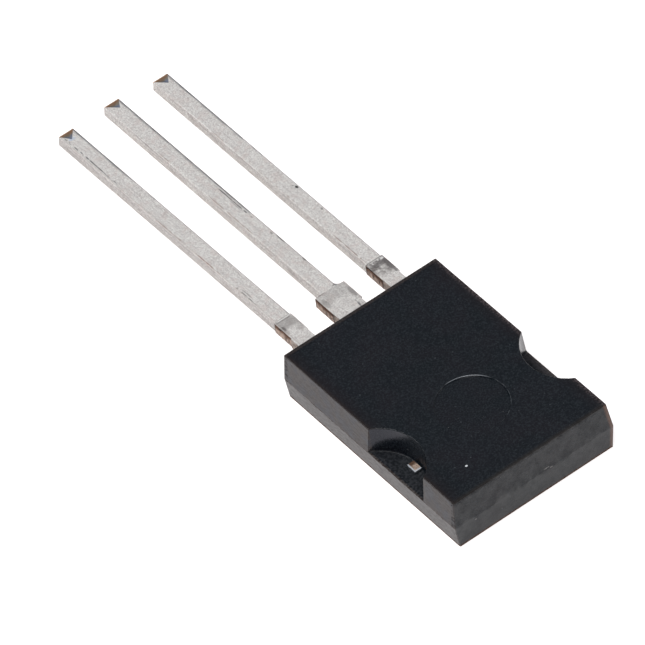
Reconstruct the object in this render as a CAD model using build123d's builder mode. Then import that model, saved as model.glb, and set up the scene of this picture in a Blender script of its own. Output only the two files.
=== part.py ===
from build123d import *
import os
from math import radians, tan

os.makedirs("parts", exist_ok=True)

# A triac in a flat three-lead plastic power package without a mounting hole. A spring clip holds it
# on a heatsink. Frame, in millimetres: the origin is the middle of the moulding's back face, +X runs
# across the leads towards the gate lead, the leads point along -Y, and +Z points out of the front.

# ---- Moulding ----------------------------------------------------------------------------------
BODY_WIDTH = 7.88  # at the parting line, where the moulding is widest
BODY_LENGTH = 10.84  # at the parting line
BODY_HEIGHT = 2.35
PARTING_HEIGHT = 1.11  # the mould halves meet here
SIDE_DRAFT = 6.5  # degrees, long sides, both mould halves
FAR_END_DRAFT = 6.3  # degrees, upper half of the end away from the leads
PLAIN_DRAFT = 0.6  # degrees, the other end faces, which the mould leaves almost upright
CORNER_RADIUS = 0.04  # upright corners
RIM_RADIUS = 0.03  # rim of the front face

# Arc notches in both long sides, cut from the front face down to a shelf at the parting line.
NOTCH_RADIUS = 2.0
GATE_NOTCH_BITE = 1.13  # how far the arc reaches in from the parting line
MAIN_NOTCH_BITE = 1.04  # the mould halves sit a little off, so this side's notch is shallower
NOTCH_DRAFT = 2.0  # degrees
NOTCH_FOOT_RADIUS = 0.07  # inside corner between a notch's wall and its shelf
FEATURE_FROM_FAR_END = 3.725  # notch and ring centres, from the far end

# Round mark left by the ejector pin in the front face.
RING_RADIUS = 1.52
RING_DEPTH = 0.05
RING_WALL_SLOPE = 50.0  # degrees from upright

# ---- Leads -------------------------------------------------------------------------------------
LEAD_PITCH = 2.29
LEAD_WIDTH = 0.75
LEAD_THICKNESS = 0.52
LEAD_BOTTOM = 1.155  # underside of the leads above the back face
LEAD_EDGE_RADIUS = 0.05  # rolled upper long edges
MIDDLE_LEAD_LENGTH = 16.37  # from the moulding to the tip, uneven from the trimming
GATE_LEAD_LENGTH = 16.30
MAIN_LEAD_LENGTH = 16.13
MIDDLE_LEAD_SPLAY = 0.07  # how far a tip lies off its pitch line, towards +X
GATE_LEAD_SPLAY = 0.14
MAIN_LEAD_SPLAY = 0.05

# Where the dam bar was cut away each lead keeps a wider stretch with sheared sides. The punch ran
# a little off, so a lead doesn't reach as far on both sides of its pitch line: LOW is the side
# towards -X and HIGH the side towards +X.
OUTER_DAM_START = 1.01  # from the moulding
MIDDLE_DAM_START = 0.90
OUTER_DAM_END = 2.13
MIDDLE_DAM_END = 2.09
MAIN_DAM_LOW = 0.425
MAIN_DAM_HIGH = 0.415
MAIN_ROOT_LOW = 0.37
MAIN_ROOT_HIGH = 0.405
MIDDLE_DAM_LOW = 0.735
MIDDLE_DAM_HIGH = 0.69
MIDDLE_ROOT_LOW = 0.675
MIDDLE_ROOT_HIGH = 0.68
GATE_DAM_LOW = 0.415
GATE_DAM_HIGH = 0.41
GATE_ROOT_LOW = 0.385
GATE_ROOT_HIGH = 0.45
SHOULDER_FILLET = 0.22  # inside corner between the middle lead and its wide stretch

# Each tip is sheared off: its end face leans, and its upper face keeps a three-sided dent.
TIP_LEAN = 0.07  # how far the lower edge of the end face stands out beyond the upper one
DENT_LENGTH = 0.47  # from the tip to the dent's point
DENT_LAND = 0.02  # left between the dent and the edges
DENT_DEPTH = 0.06
DENT_DEEPEST = 0.19  # distance of its lowest point from the tip
MIDDLE_DENT_SKEW = -0.10  # how far a dent's point lies off the lead's middle, towards +X
GATE_DENT_SKEW = 0.04
MAIN_DENT_SKEW = -0.08

# ---- Copper base -------------------------------------------------------------------------------
BASE_WIDTH = 5.40
BASE_START = 3.00  # from the lead end of the moulding
BASE_END = 9.75
BASE_THICKNESS = 1.23
BASE_CORNER = 0.40
BASE_LEDGE = 0.25  # the exposed pad is smaller than the base all round
BASE_LEDGE_HEIGHT = 0.40
CRANK_START = 1.95  # the middle lead steps down to the base between these two places
CRANK_END = 2.65
CRANK_BEND = 0.35  # centreline radius of the crank's bends

# Stubs of the tie bars that held the base in its strip. They lie just under the notch shelves, and
# only their sheared ends turn up through them.
STUB_REACH = 0.57  # beyond the base's side
STUB_WIDTH = 0.50
STUB_OFFSET = 0.14  # from the notch's middle towards the far end
STUB_COVER = 0.04  # moulding over the stub
STUB_END_LENGTH = 0.32  # turned-up end
STUB_END_RISE = 0.10  # of the turned-up end, above the shelf
STUB_END_RADIUS = 0.03

# ---- Bonding posts -----------------------------------------------------------------------------
POST_START = 0.45  # from the lead end of the moulding
POST_END = 2.40
POST_GAP = 0.30  # between a post and the middle lead
MAIN_POST_WIDTH = 2.05
GATE_POST_WIDTH = 1.70
POST_CORNER = 0.20

# ---- Die and wires -----------------------------------------------------------------------------
DIE_SIDE = 2.60
DIE_THICKNESS = 0.26
DIE_MESA = 0.10  # sloped passivated border
DIE_FROM_BASE_START = 2.90  # die centre
SOLDER_THICKNESS = 0.06
SOLDER_MARGIN = 0.12
MAIN_WIRE_RADIUS = 0.19
GATE_WIRE_RADIUS = 0.10
WIRE_SINK = 0.35  # share of the wire's radius that the bond squashes flat
WIRE_FOOT = 0.50
WIRE_BEND = 0.30  # centreline radius of the wires' bends
WIRE_RISE = 0.33  # crown of a wire's loop above the leads' upper face
WIRE_CROWN_FROM = 0.30  # the crown lies between these shares of the way from bond to bond
WIRE_CROWN_TO = 0.72
WIRE_POST_INSET = 0.55  # bond place on a post, from its inner end
MAIN_BOND_OFFSET = 0.35  # bond place on the die, off its middle
GATE_BOND_INSET = 0.42  # bond place in the die's gate corner, from both sides

# ---- Worked-out places -------------------------------------------------------------------------
LEAD_END = -BODY_LENGTH / 2
FAR_END = BODY_LENGTH / 2
FEATURE_Y = FAR_END - FEATURE_FROM_FAR_END
LEAD_TOP = LEAD_BOTTOM + LEAD_THICKNESS
GATE_NOTCH_X = BODY_WIDTH / 2 - GATE_NOTCH_BITE + NOTCH_RADIUS
MAIN_NOTCH_X = -(BODY_WIDTH / 2 - MAIN_NOTCH_BITE + NOTCH_RADIUS)
UPPER_HEIGHT = BODY_HEIGHT - PARTING_HEIGHT
DIE_Y = LEAD_END + BASE_START + DIE_FROM_BASE_START
DIE_BOTTOM = BASE_THICKNESS + SOLDER_THICKNESS
DIE_TOP = DIE_BOTTOM + DIE_THICKNESS
MAIN_DAM_REACH = (MAIN_DAM_LOW, MAIN_DAM_HIGH)
MAIN_ROOT_REACH = (MAIN_ROOT_LOW, MAIN_ROOT_HIGH)
MIDDLE_DAM_REACH = (MIDDLE_DAM_LOW, MIDDLE_DAM_HIGH)
MIDDLE_ROOT_REACH = (MIDDLE_ROOT_LOW, MIDDLE_ROOT_HIGH)
GATE_DAM_REACH = (GATE_DAM_LOW, GATE_DAM_HIGH)
GATE_ROOT_REACH = (GATE_ROOT_LOW, GATE_ROOT_HIGH)
POST_INNER = max(MIDDLE_ROOT_REACH) + POST_GAP


def below(distance):
    """Y of a place on a lead, given its distance from the moulding."""
    return LEAD_END - distance


def above(distance):
    """Y of a place inside the moulding, given its distance from the lead end."""
    return LEAD_END + distance


def strip(x_middle, reach, y_low, y_high):
    """Rectangle in the open sketch, given by its reach to both sides and its two ends along Y."""
    x_low = x_middle - reach[0]
    x_high = x_middle + reach[1]
    with Locations(((x_low + x_high) / 2, (y_low + y_high) / 2)):
        Rectangle(x_high - x_low, y_high - y_low)


def lead_outline(x_middle, length, splay, root_reach, dam_reach, dam_start, dam_end, inner_end):
    """Plan of one stamped lead: the straight run, the dam-bar stretch and the root."""
    half = LEAD_WIDTH / 2
    tip = below(length + TIP_LEAN)
    x_tip = x_middle + splay
    Polygon(
        (x_middle - half, below(dam_end)),
        (x_tip - half, tip),
        (x_tip + half, tip),
        (x_middle + half, below(dam_end)),
        align=None,
    )
    strip(x_middle, dam_reach, below(dam_end), below(dam_start))
    strip(x_middle, root_reach, below(dam_start), above(inner_end))


def round_long_edges(lead, length):
    """Rolls the two upper long edges of a lead's straight run."""
    upper_edges = lead.edges().filter_by(lambda e: e.center().Z > LEAD_TOP - 0.001)
    run = upper_edges.filter_by(lambda e: e.length > length / 2)
    fillet(run, LEAD_EDGE_RADIUS)


def shear_tip(x_middle, length, splay, dent_skew):
    """Cuts a lead's end face to its lean and presses the dent into the upper face."""
    tip = below(length)
    x_tip = x_middle + splay
    half_dent = LEAD_WIDTH / 2 - DENT_LAND
    with BuildSketch(Plane.YZ.offset(x_tip)) as lean:
        with BuildLine():
            Polyline(
                (tip - TIP_LEAN, LEAD_BOTTOM),
                (tip, LEAD_TOP),
                (tip - TIP_LEAN, LEAD_TOP),
                close=True,
            )
        make_face()
    extrude(lean.sketch, amount=LEAD_WIDTH, both=True, mode=Mode.SUBTRACT)
    with BuildSketch(Plane.XY.offset(LEAD_TOP)) as dent:
        Polygon(
            (x_tip - half_dent, tip + DENT_LAND),
            (x_tip + half_dent, tip + DENT_LAND),
            (x_tip + dent_skew, tip + DENT_LENGTH),
            align=None,
        )
    deepest = Vertex(x_tip + dent_skew / 2, tip + DENT_DEEPEST, LEAD_TOP - DENT_DEPTH)
    loft([dent.sketch.face(), deepest], mode=Mode.SUBTRACT)


def outer_lead(side, length, splay, root_reach, dam_reach, dent_skew, post_width):
    """Outer lead on one side of the middle one (side -1 or 1), with its bonding post."""
    x_middle = side * LEAD_PITCH
    with BuildPart() as lead:
        with BuildSketch(Plane.XY.offset(LEAD_BOTTOM)):
            lead_outline(
                x_middle,
                length,
                splay,
                root_reach,
                dam_reach,
                OUTER_DAM_START,
                OUTER_DAM_END,
                POST_START,
            )
            with Locations((side * (POST_INNER + post_width / 2), above((POST_START + POST_END) / 2))):
                RectangleRounded(post_width, POST_END - POST_START, POST_CORNER)
        extrude(amount=LEAD_THICKNESS)
        round_long_edges(lead, length)
        shear_tip(x_middle, length, splay, dent_skew)
    return lead


def bond_wire(start, start_height, end, end_height, radius, bonded_to):
    """Round wire looped between two bonds, each squashed flat on what it is bonded to."""
    run = end - start
    squashed = radius * (1 - WIRE_SINK)
    crown = LEAD_TOP + WIRE_RISE
    gap = run.length
    with BuildPart() as wire:
        with BuildLine(Plane(origin=start, x_dir=run, z_dir=run.cross(Vector(0, 0, 1)))) as route:
            FilletPolyline(
                (-WIRE_FOOT / 2, start_height + squashed),
                (WIRE_FOOT / 2, start_height + squashed),
                (gap * WIRE_CROWN_FROM, crown),
                (gap * WIRE_CROWN_TO, crown),
                (gap - WIRE_FOOT / 2, end_height + squashed),
                (gap + WIRE_FOOT / 2, end_height + squashed),
                radius=WIRE_BEND,
            )
        with BuildSketch(route.line ^ 0):
            Circle(radius)
        sweep()
        for carrier in bonded_to:
            add(carrier.part, mode=Mode.SUBTRACT)
    return wire


def mould_outline(side_inset=0.0, lead_end_inset=0.0, far_end_inset=0.0):
    """Outline of the moulding in the open sketch, given its insets from the parting line."""
    width = BODY_WIDTH - 2 * side_inset
    length = BODY_LENGTH - lead_end_inset - far_end_inset
    with Locations((0, (lead_end_inset - far_end_inset) / 2)):
        RectangleRounded(width, length, CORNER_RADIUS)


def inset(height, draft):
    """How far a drafted wall leans in over a height."""
    return height * tan(radians(draft))


# ---- Copper base with the middle lead ----------------------------------------------------------
# One stamping of two-thickness strip: the thick part is the heat spreader, and the thin part is
# the middle lead, cranked up to the plane of the outer leads.
with BuildPart() as mounting_base:
    with BuildSketch(Plane.YZ):
        with BuildLine():
            FilletPolyline(
                (below(MIDDLE_LEAD_LENGTH + TIP_LEAN), LEAD_BOTTOM + LEAD_THICKNESS / 2),
                (above(CRANK_START), LEAD_BOTTOM + LEAD_THICKNESS / 2),
                (above(CRANK_END), BASE_THICKNESS - LEAD_THICKNESS / 2),
                (above(BASE_START + BASE_CORNER), BASE_THICKNESS - LEAD_THICKNESS / 2),
                radius=CRANK_BEND,
            )
        trace(line_width=LEAD_THICKNESS)
    extrude(amount=max(MIDDLE_DAM_REACH), both=True)
    with BuildSketch(Plane.XY) as middle_plan:
        lead_outline(
            0,
            MIDDLE_LEAD_LENGTH,
            MIDDLE_LEAD_SPLAY,
            MIDDLE_ROOT_REACH,
            MIDDLE_DAM_REACH,
            MIDDLE_DAM_START,
            MIDDLE_DAM_END,
            BASE_START + BASE_CORNER,
        )
        shoulders = middle_plan.vertices().filter_by(
            lambda v: abs(v.Y - below(MIDDLE_DAM_END)) < 0.001 and abs(v.X) < LEAD_WIDTH / 2 + 0.001
        )
        fillet(shoulders, SHOULDER_FILLET)
    extrude(amount=BODY_HEIGHT, mode=Mode.INTERSECT)
    round_long_edges(mounting_base, MIDDLE_LEAD_LENGTH)
    shear_tip(0, MIDDLE_LEAD_LENGTH, MIDDLE_LEAD_SPLAY, MIDDLE_DENT_SKEW)

    base_middle = (0, above((BASE_START + BASE_END) / 2))
    base_length = BASE_END - BASE_START
    with BuildSketch(Plane.XY.offset(BASE_LEDGE_HEIGHT)):
        with Locations(base_middle):
            RectangleRounded(BASE_WIDTH, base_length, BASE_CORNER)
    extrude(amount=BASE_THICKNESS - BASE_LEDGE_HEIGHT)
    with BuildSketch(Plane.XY):
        with Locations(base_middle):
            RectangleRounded(BASE_WIDTH - 2 * BASE_LEDGE, base_length - 2 * BASE_LEDGE, BASE_CORNER)
    extrude(amount=BASE_LEDGE_HEIGHT)
    stub_middle = (0, FEATURE_Y + STUB_OFFSET)
    stub_span = BASE_WIDTH + 2 * STUB_REACH
    stub_top = PARTING_HEIGHT - STUB_COVER
    with BuildSketch(Plane.XY.offset(stub_top)):
        with Locations(stub_middle):
            Rectangle(stub_span, STUB_WIDTH)
    extrude(amount=-LEAD_THICKNESS)
    with BuildSketch(Plane.XY.offset(stub_top)):
        with Locations(stub_middle):
            with GridLocations(stub_span - STUB_END_LENGTH, 0, 2, 1):
                RectangleRounded(STUB_END_LENGTH, STUB_WIDTH, STUB_END_RADIUS)
    extrude(amount=STUB_COVER + STUB_END_RISE)

# ---- Outer leads -------------------------------------------------------------------------------
main_terminal_lead = outer_lead(
    -1,
    MAIN_LEAD_LENGTH,
    MAIN_LEAD_SPLAY,
    MAIN_ROOT_REACH,
    MAIN_DAM_REACH,
    MAIN_DENT_SKEW,
    MAIN_POST_WIDTH,
)
gate_lead = outer_lead(
    1,
    GATE_LEAD_LENGTH,
    GATE_LEAD_SPLAY,
    GATE_ROOT_REACH,
    GATE_DAM_REACH,
    GATE_DENT_SKEW,
    GATE_POST_WIDTH,
)

# ---- Die on its solder -------------------------------------------------------------------------
with BuildPart() as die_solder:
    with BuildSketch(Plane.XY.offset(BASE_THICKNESS)):
        with Locations((0, DIE_Y)):
            RectangleRounded(DIE_SIDE + 2 * SOLDER_MARGIN, DIE_SIDE + 2 * SOLDER_MARGIN, 2 * SOLDER_MARGIN)
    extrude(amount=SOLDER_THICKNESS)

with BuildPart() as triac_die:
    with BuildSketch(Plane.XY.offset(DIE_BOTTOM)):
        with Locations((0, DIE_Y)):
            Rectangle(DIE_SIDE, DIE_SIDE)
    extrude(amount=DIE_THICKNESS)
    chamfer(triac_die.edges().group_by(Axis.Z)[-1], DIE_MESA)

# ---- Bond wires --------------------------------------------------------------------------------
post_bond_y = above(POST_END - WIRE_POST_INSET)
main_terminal_wire = bond_wire(
    Vector(-MAIN_BOND_OFFSET, DIE_Y, 0),
    DIE_TOP,
    Vector(-POST_INNER - MAIN_POST_WIDTH / 2, post_bond_y, 0),
    LEAD_TOP,
    MAIN_WIRE_RADIUS,
    (triac_die, main_terminal_lead),
)
gate_wire = bond_wire(
    Vector(DIE_SIDE / 2 - GATE_BOND_INSET, DIE_Y - DIE_SIDE / 2 + GATE_BOND_INSET, 0),
    DIE_TOP,
    Vector(POST_INNER + GATE_POST_WIDTH / 2, post_bond_y, 0),
    LEAD_TOP,
    GATE_WIRE_RADIUS,
    (triac_die, gate_lead),
)

# ---- Moulding round them all -------------------------------------------------------------------
with BuildPart() as moulded_body:
    lower_end = inset(PARTING_HEIGHT, PLAIN_DRAFT)
    with BuildSketch(Plane.XY):
        mould_outline(inset(PARTING_HEIGHT, SIDE_DRAFT), lower_end, lower_end)
    with BuildSketch(Plane.XY.offset(PARTING_HEIGHT)):
        mould_outline()
    loft()
    with BuildSketch(Plane.XY.offset(PARTING_HEIGHT)):
        mould_outline()
    with BuildSketch(Plane.XY.offset(BODY_HEIGHT)):
        mould_outline(
            inset(UPPER_HEIGHT, SIDE_DRAFT),
            inset(UPPER_HEIGHT, PLAIN_DRAFT),
            inset(UPPER_HEIGHT, FAR_END_DRAFT),
        )
    loft()
    with BuildSketch(Plane.XY.offset(BODY_HEIGHT)):
        with Locations((MAIN_NOTCH_X, FEATURE_Y), (GATE_NOTCH_X, FEATURE_Y)):
            Circle(NOTCH_RADIUS)
    extrude(amount=-UPPER_HEIGHT, taper=NOTCH_DRAFT, mode=Mode.SUBTRACT)
    notch_feet = moulded_body.edges().filter_by(GeomType.CIRCLE).filter_by(
        lambda e: abs(e.center().Z - PARTING_HEIGHT) < 0.001 and e.radius > NOTCH_RADIUS / 2
    )
    fillet(notch_feet, NOTCH_FOOT_RADIUS)
    fillet(moulded_body.faces().sort_by(Axis.Z)[-1].edges(), RIM_RADIUS)
    with BuildSketch(Plane.XY.offset(BODY_HEIGHT)):
        with Locations((0, FEATURE_Y)):
            Circle(RING_RADIUS)
    extrude(amount=-RING_DEPTH, taper=RING_WALL_SLOPE, mode=Mode.SUBTRACT)
    for piece in (
        mounting_base,
        main_terminal_lead,
        gate_lead,
        die_solder,
        triac_die,
        main_terminal_wire,
        gate_wire,
    ):
        add(piece.part, mode=Mode.SUBTRACT)

# ---- One file for each piece -------------------------------------------------------------------
PIECES = {
    "moulded_body": moulded_body,
    "mounting_base": mounting_base,
    "main_terminal_lead": main_terminal_lead,
    "gate_lead": gate_lead,
    "triac_die": triac_die,
    "die_solder": die_solder,
    "main_terminal_wire": main_terminal_wire,
    "gate_wire": gate_wire,
}
for name, piece in PIECES.items():
    piece.part.label = name
    export_step(piece.part, f"parts/{name}.step")
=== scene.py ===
# %% [markdown]
# # A triac in a flat plastic power package
#
# The part is a power switch for alternating current. A black epoxy block, 7.9 x 10.8 x 2.35 mm, is
# moulded round a copper base, and three tin-plated copper leads come out of one end. A spring clip
# holds it on a heatsink, so the block has no hole. Its long sides carry an arc notch each.
#
# The shapes come finished from the CAD model. This lesson gives them their surfaces: epoxy with its
# mould finish, tin plate, and the bare copper that every cutting tool leaves behind. Two small things
# are modelled here with Geometry Nodes: the burr that the shears left under the leads, and the grains
# of quartz that lie bare in the epoxy's skin.

# %% Load the frame
from functools import partial
from math import radians
from types import SimpleNamespace

import bpy
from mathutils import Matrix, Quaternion, Vector


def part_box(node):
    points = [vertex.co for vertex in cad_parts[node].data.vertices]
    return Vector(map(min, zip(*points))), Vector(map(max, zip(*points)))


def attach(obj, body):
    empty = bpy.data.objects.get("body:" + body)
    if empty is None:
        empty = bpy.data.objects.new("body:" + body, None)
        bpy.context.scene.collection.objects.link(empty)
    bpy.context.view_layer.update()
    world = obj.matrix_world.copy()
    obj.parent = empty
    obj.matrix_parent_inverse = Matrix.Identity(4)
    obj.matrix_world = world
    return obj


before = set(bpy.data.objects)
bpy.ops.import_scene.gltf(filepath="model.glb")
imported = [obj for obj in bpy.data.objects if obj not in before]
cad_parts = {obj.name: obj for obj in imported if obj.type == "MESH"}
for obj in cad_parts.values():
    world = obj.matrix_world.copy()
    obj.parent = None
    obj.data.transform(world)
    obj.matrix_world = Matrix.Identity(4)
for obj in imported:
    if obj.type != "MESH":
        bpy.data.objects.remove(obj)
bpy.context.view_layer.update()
MM = 0.001
for name in sorted(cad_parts):
    low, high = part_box(name)
    print(name, "mm:", [round(v / MM, 2) for v in low], [round(v / MM, 2) for v in high])

# %% [markdown]
# ## Sizes
#
# Everything is placed from the frame's boxes. A few sizes can't be read from a box, such as where the
# dam bar was cut from the leads. Those of the leads are named here, in millimetres, and the others
# where they are first needed.

# %% Places read from the frame, and sizes in millimetres
body_low, body_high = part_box("moulded_body")
LEAD_END = body_low.y / MM
FAR_END = body_high.y / MM
FRONT_FACE = body_high.z / MM
HALF_WIDTH = body_high.x / MM
LEAD_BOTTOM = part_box("gate_lead")[0].z / MM
LEAD_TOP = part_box("gate_lead")[1].z / MM

LEAD_PITCH = 2.29
HALF_LEAD = 0.375
TIP_LEAN = 0.07
DENT_LENGTH = 0.47

# Each lead has its place across the part and the splay of its tip. The dam bar was cut off between
# two distances from the moulding, and the lead still reaches a little further to both sides there.
# The last four say how deep the punch burnished the cut, how much it stained the face around it, how
# much painted shade darkens the sides and the rolled edge (the sides' dust grows with it), and between
# which distances the lead's one edge is worn.
LEADS = {
    "main_terminal_lead": dict(
        middle=-LEAD_PITCH, splay=0.05, dam=(1.01, 2.13), reach=(0.425, 0.415),
        burnished=0.19, stained=0.88, side_shade=0.04, worn=(11.5, 17.0),
    ),
    "mounting_base": dict(
        middle=0.0, splay=0.07, dam=(0.90, 2.09), reach=(0.735, 0.69),
        burnished=0.14, stained=0.30, side_shade=0.04, worn=(7.8, 17.0),
    ),
    "gate_lead": dict(
        middle=LEAD_PITCH, splay=0.14, dam=(1.01, 2.13), reach=(0.415, 0.41),
        burnished=0.12, stained=0.40, side_shade=0.30, worn=(12.6, 17.0),
    ),
}
for name, lead in LEADS.items():
    lead["tip"] = LEAD_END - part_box(name)[0].y / MM - TIP_LEAN
    print(name, "is", round(lead["tip"], 2), "mm long from the moulding")

# %% [markdown]
# ## Colours and nodes
#
# Blender shades in linear light, while a colour read off a swatch is sRGB. One function turns the hex
# value that people write down into the linear one. Another adds a node with its settings and its
# links in one go: a node or a socket given as an input is linked, a hex value becomes a colour, and
# anything else is set. Shader nodes go by the last part of their name, so Math is ShaderNodeMath. Each
# material binds the function to its own tree, so that it reads like a recipe.


# %% Helpers for colours and nodes
def linear(hex_colour):
    """Linear RGBA from an sRGB hex value."""
    channels = [int(hex_colour[i : i + 2], 16) / 255 for i in (1, 3, 5)]
    return [c / 12.92 if c <= 0.04045 else ((c + 0.055) / 1.055) ** 2.4 for c in channels] + [1.0]


def add_node(tree, kind, inputs=(), **settings):
    """Adds a node with its settings, and links or sets its inputs, by name or in order."""
    node = tree.nodes.new(kind if "Node" in kind else "ShaderNode" + kind)
    for key, value in settings.items():
        setattr(node, key, value)
    for key, value in inputs.items() if isinstance(inputs, dict) else enumerate(inputs):
        named = [socket for socket in node.inputs if socket.enabled and socket.name == key]
        socket = named[0] if named else node.inputs[key]
        if isinstance(value, bpy.types.Node):
            value = next(output for output in value.outputs if output.enabled)
        if isinstance(value, bpy.types.NodeSocket):
            tree.links.new(value, socket)
        else:
            socket.default_value = linear(value) if isinstance(value, str) else value
    return node


def new_material(name):
    """Empty material, and the function that adds nodes to it."""
    material = bpy.data.materials.new(name)
    material.use_nodes = True
    material.node_tree.nodes.clear()
    return material, partial(add_node, material.node_tree)


def per_mm(millimetres):
    """Texture scale, in repeats per metre, of a pattern whose repeat is this many millimetres."""
    return 1 / (millimetres * MM)


print("dark epoxy in linear light:", [round(c, 4) for c in linear("#0b1218")])

# %% [markdown]
# ## Masks and paint
#
# No real surface is the same all over. A mask says where something is, from 0 to 1, and paint lays a
# colour on there. Three sorts of mask do for the whole part: the stretch between two distances, a
# noise cut into patches, and an oval blotch with a ragged edge. Multiplying two masks keeps one of
# them within the other, so stretch and paint take a second mask for that.


# %% Helpers for masks and paint
def surface_place(add):
    """Where a point lies, as object coordinates and apart in millimetres, and how it faces."""
    place = add("TexCoord").outputs["Object"]
    in_mm = add("VectorMath", {0: place, "Scale": 1 / MM}, operation="SCALE")
    x, y, z = add("SeparateXYZ", [in_mm]).outputs
    normal = add("NewGeometry").outputs["True Normal"]
    facing = add("SeparateXYZ", [normal]).outputs
    return SimpleNamespace(place=place, x=x, y=y, z=z, facing=facing)


def stretch(add, value, low=None, high=None, soft=0.01, within=None):
    """Mask that is 1 where the value lies above low and below high, with soft ends, within another."""
    mask = within
    for end, inward in ((low, soft), (high, -soft)):
        if end is not None:
            ramp = {"Value": value, "From Min": end - inward, "From Max": end + inward}
            ramp = add("MapRange", ramp)
            mask = ramp if mask is None else add("Math", [mask, ramp], operation="MULTIPLY")
    return mask


def patches(add, place, size, low, high, detail=3.0, **more):
    """Mask of uneven patches, this many millimetres across, where a noise passes from low to high."""
    noise = add("TexNoise", {"Vector": place, "Scale": per_mm(size), "Detail": detail, **more})
    return add("MapRange", {"Value": noise, "From Min": low, "From Max": high})


def blotch(add, place, across, along, centre, half_sizes):
    """Mask of an oval stain with a ragged edge, placed by two measures in millimetres."""
    oval = {}
    for axis, measure in enumerate((across, along)):
        offset = add("Math", [measure, centre[axis]], operation="SUBTRACT")
        oval[axis] = add("Math", [offset, half_sizes[axis]], operation="DIVIDE")
    oval = add("CombineXYZ", oval)
    radius = add("VectorMath", [oval], operation="LENGTH").outputs["Value"]
    # The noise is one half on average, so half of what it adds belongs to the edge.
    ragged = 1.2
    noise = add("TexNoise", {"Vector": place, "Scale": per_mm(0.15), "Detail": 3.0})
    uneven = add("Math", [noise, ragged, radius], operation="MULTIPLY_ADD")
    return stretch(add, uneven, high=1 + 0.5 * ragged, soft=0.2)


def paint(add, colour, mask, strength, over, within=None):
    """Lays another colour over a colour where the mask says, at the given strength."""
    if within is not None:
        mask = add("Math", [mask, within], operation="MULTIPLY")
    amount = add("Math", [mask, strength], operation="MULTIPLY")
    return add("Mix", {"Factor": amount, "A": colour, "B": over}, data_type="RGBA")


def finish_surface(add, bump_height, bump_mm, **shader_inputs):
    """Principled shader with a bump of a given height, joined to the material's output."""
    bump = add("Bump", {"Height": bump_height, "Distance": bump_mm * MM})
    inputs = {key.replace("_", " "): value for key, value in shader_inputs.items()}
    shader = add("BsdfPrincipled", {**inputs, "Normal": bump})
    add("OutputMaterial", {"Surface": shader})


print("a pattern of 0.05 mm repeats", round(per_mm(0.05)), "times in a metre")

# %% [markdown]
# ## Black glass-filled epoxy
#
# The block is transfer-moulded from epoxy that is mostly ground quartz, with a little soot for the
# colour. The mould is spark-eroded, and that leaves a satin skin of tiny craters, about 0.07 mm across.
# Two things tell the eye what it is. Seen from above it is almost black with a cold tint. Seen at a
# low angle it turns grey, because any dielectric mirrors more at a low angle, and the skin is smooth
# enough to show the pale table. So the colour stays very dark and the index of refraction stays
# 1.5: painting the sides grey would look right from one place only.
#
# One long recipe would be hard to follow, so each step is a function that lays on what one cause did to
# the block. The first finds out where a point lies, and its masks serve all the others.

# %% Places on the block
# In millimetres: how far the draft sets the front's edges in, how high the mould halves met, how far
# from the middle the notches may lie, and how deep the masks of the front, the long sides and the ends
# reach, so that they take in the rims and the leaning walls.
FRONT_INSET = 0.14
PARTING_HEIGHT = 1.11
NOTCHES_WITHIN = 4.5
FRONT_DEPTH, SIDE_DEPTH, END_DEPTH = 0.03, 0.16, 0.25
FRONT_EDGE = HALF_WIDTH - FRONT_INSET
END_EDGE = FAR_END - FRONT_INSET
# Cosines of a face's tilt: a wall lies below the first, an end or a level shelf above the others.
WALL_TILT, END_TILT, LEVEL_TILT = 0.5, 0.7, 0.9


def places_on_block(add):
    """Masks of the block's front, walls, long sides, ends and notches, kept beside the point."""
    point = surface_place(add)
    point.aside = add("Math", [point.x], operation="ABSOLUTE")
    point.endways = add("Math", [point.y], operation="ABSOLUTE")
    point.on_front = add("Math", [point.z, FRONT_FACE - FRONT_DEPTH], operation="GREATER_THAN")
    point.wall = stretch(add, point.facing[2], high=WALL_TILT)
    point.to_far = add("Math", [point.facing[1], 0.0], operation="MAXIMUM")

    point.on_end = stretch(add, point.endways, low=FAR_END - END_DEPTH)
    end_face = add("Math", [point.facing[1]], operation="ABSOLUTE")
    end_face = add("Math", [end_face, END_TILT], operation="GREATER_THAN")
    point.end_face = add("Math", [end_face, point.on_end], operation="MULTIPLY")

    outermost = stretch(add, point.aside, low=HALF_WIDTH - SIDE_DEPTH)
    point.long_side = add("Math", [outermost, point.end_face], operation="SUBTRACT", use_clamp=True)
    point.on_sides = add("Math", [point.aside, 0.5 * HALF_WIDTH], operation="GREATER_THAN")
    notch = stretch(add, point.endways, high=NOTCHES_WITHIN, within=point.on_sides)
    point.notch = add("Math", [notch, point.long_side], operation="SUBTRACT", use_clamp=True)
    point.in_notch = add("Math", [point.notch, point.wall], operation="MULTIPLY")
    return point


print("front edges at", round(FRONT_EDGE, 2), "and", round(END_EDGE, 2), "mm from the middle")

# %% [markdown]
# Soot and resin flow unevenly into the mould, which leaves faint clouds, some bluish and some reddish,
# one or two millimetres across. Ground quartz shows through the skin as a grain just fine enough to be
# seen, with a paler speck every half a millimetre or so.


# %% The resin itself
def resin_colour(add, point):
    """Almost black resin with clouds of soot, a grain of quartz and a few specks."""
    point.clouds = patches(add, point.place, 2.4, 0.38, 0.66, 2.0)
    colour = paint(add, "#081016", point.clouds, 1.0, "#0f1118")
    reddish = patches(add, point.place, 1.3, 0.42, 0.7, 1.0)
    colour = paint(add, colour, reddish, 0.5, "#161118")
    grain = patches(add, point.place, 0.07, 0.46, 0.64, 2.0, Roughness=0.8)
    colour = paint(add, colour, grain, 0.85, "#282d32")
    spread = add("TexVoronoi", {"Vector": point.place, "Scale": per_mm(0.55)})
    specks = stretch(add, spread.outputs["Distance"], high=0.05, soft=0.02)
    return paint(add, colour, specks, 0.3, "#6d7276")


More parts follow.
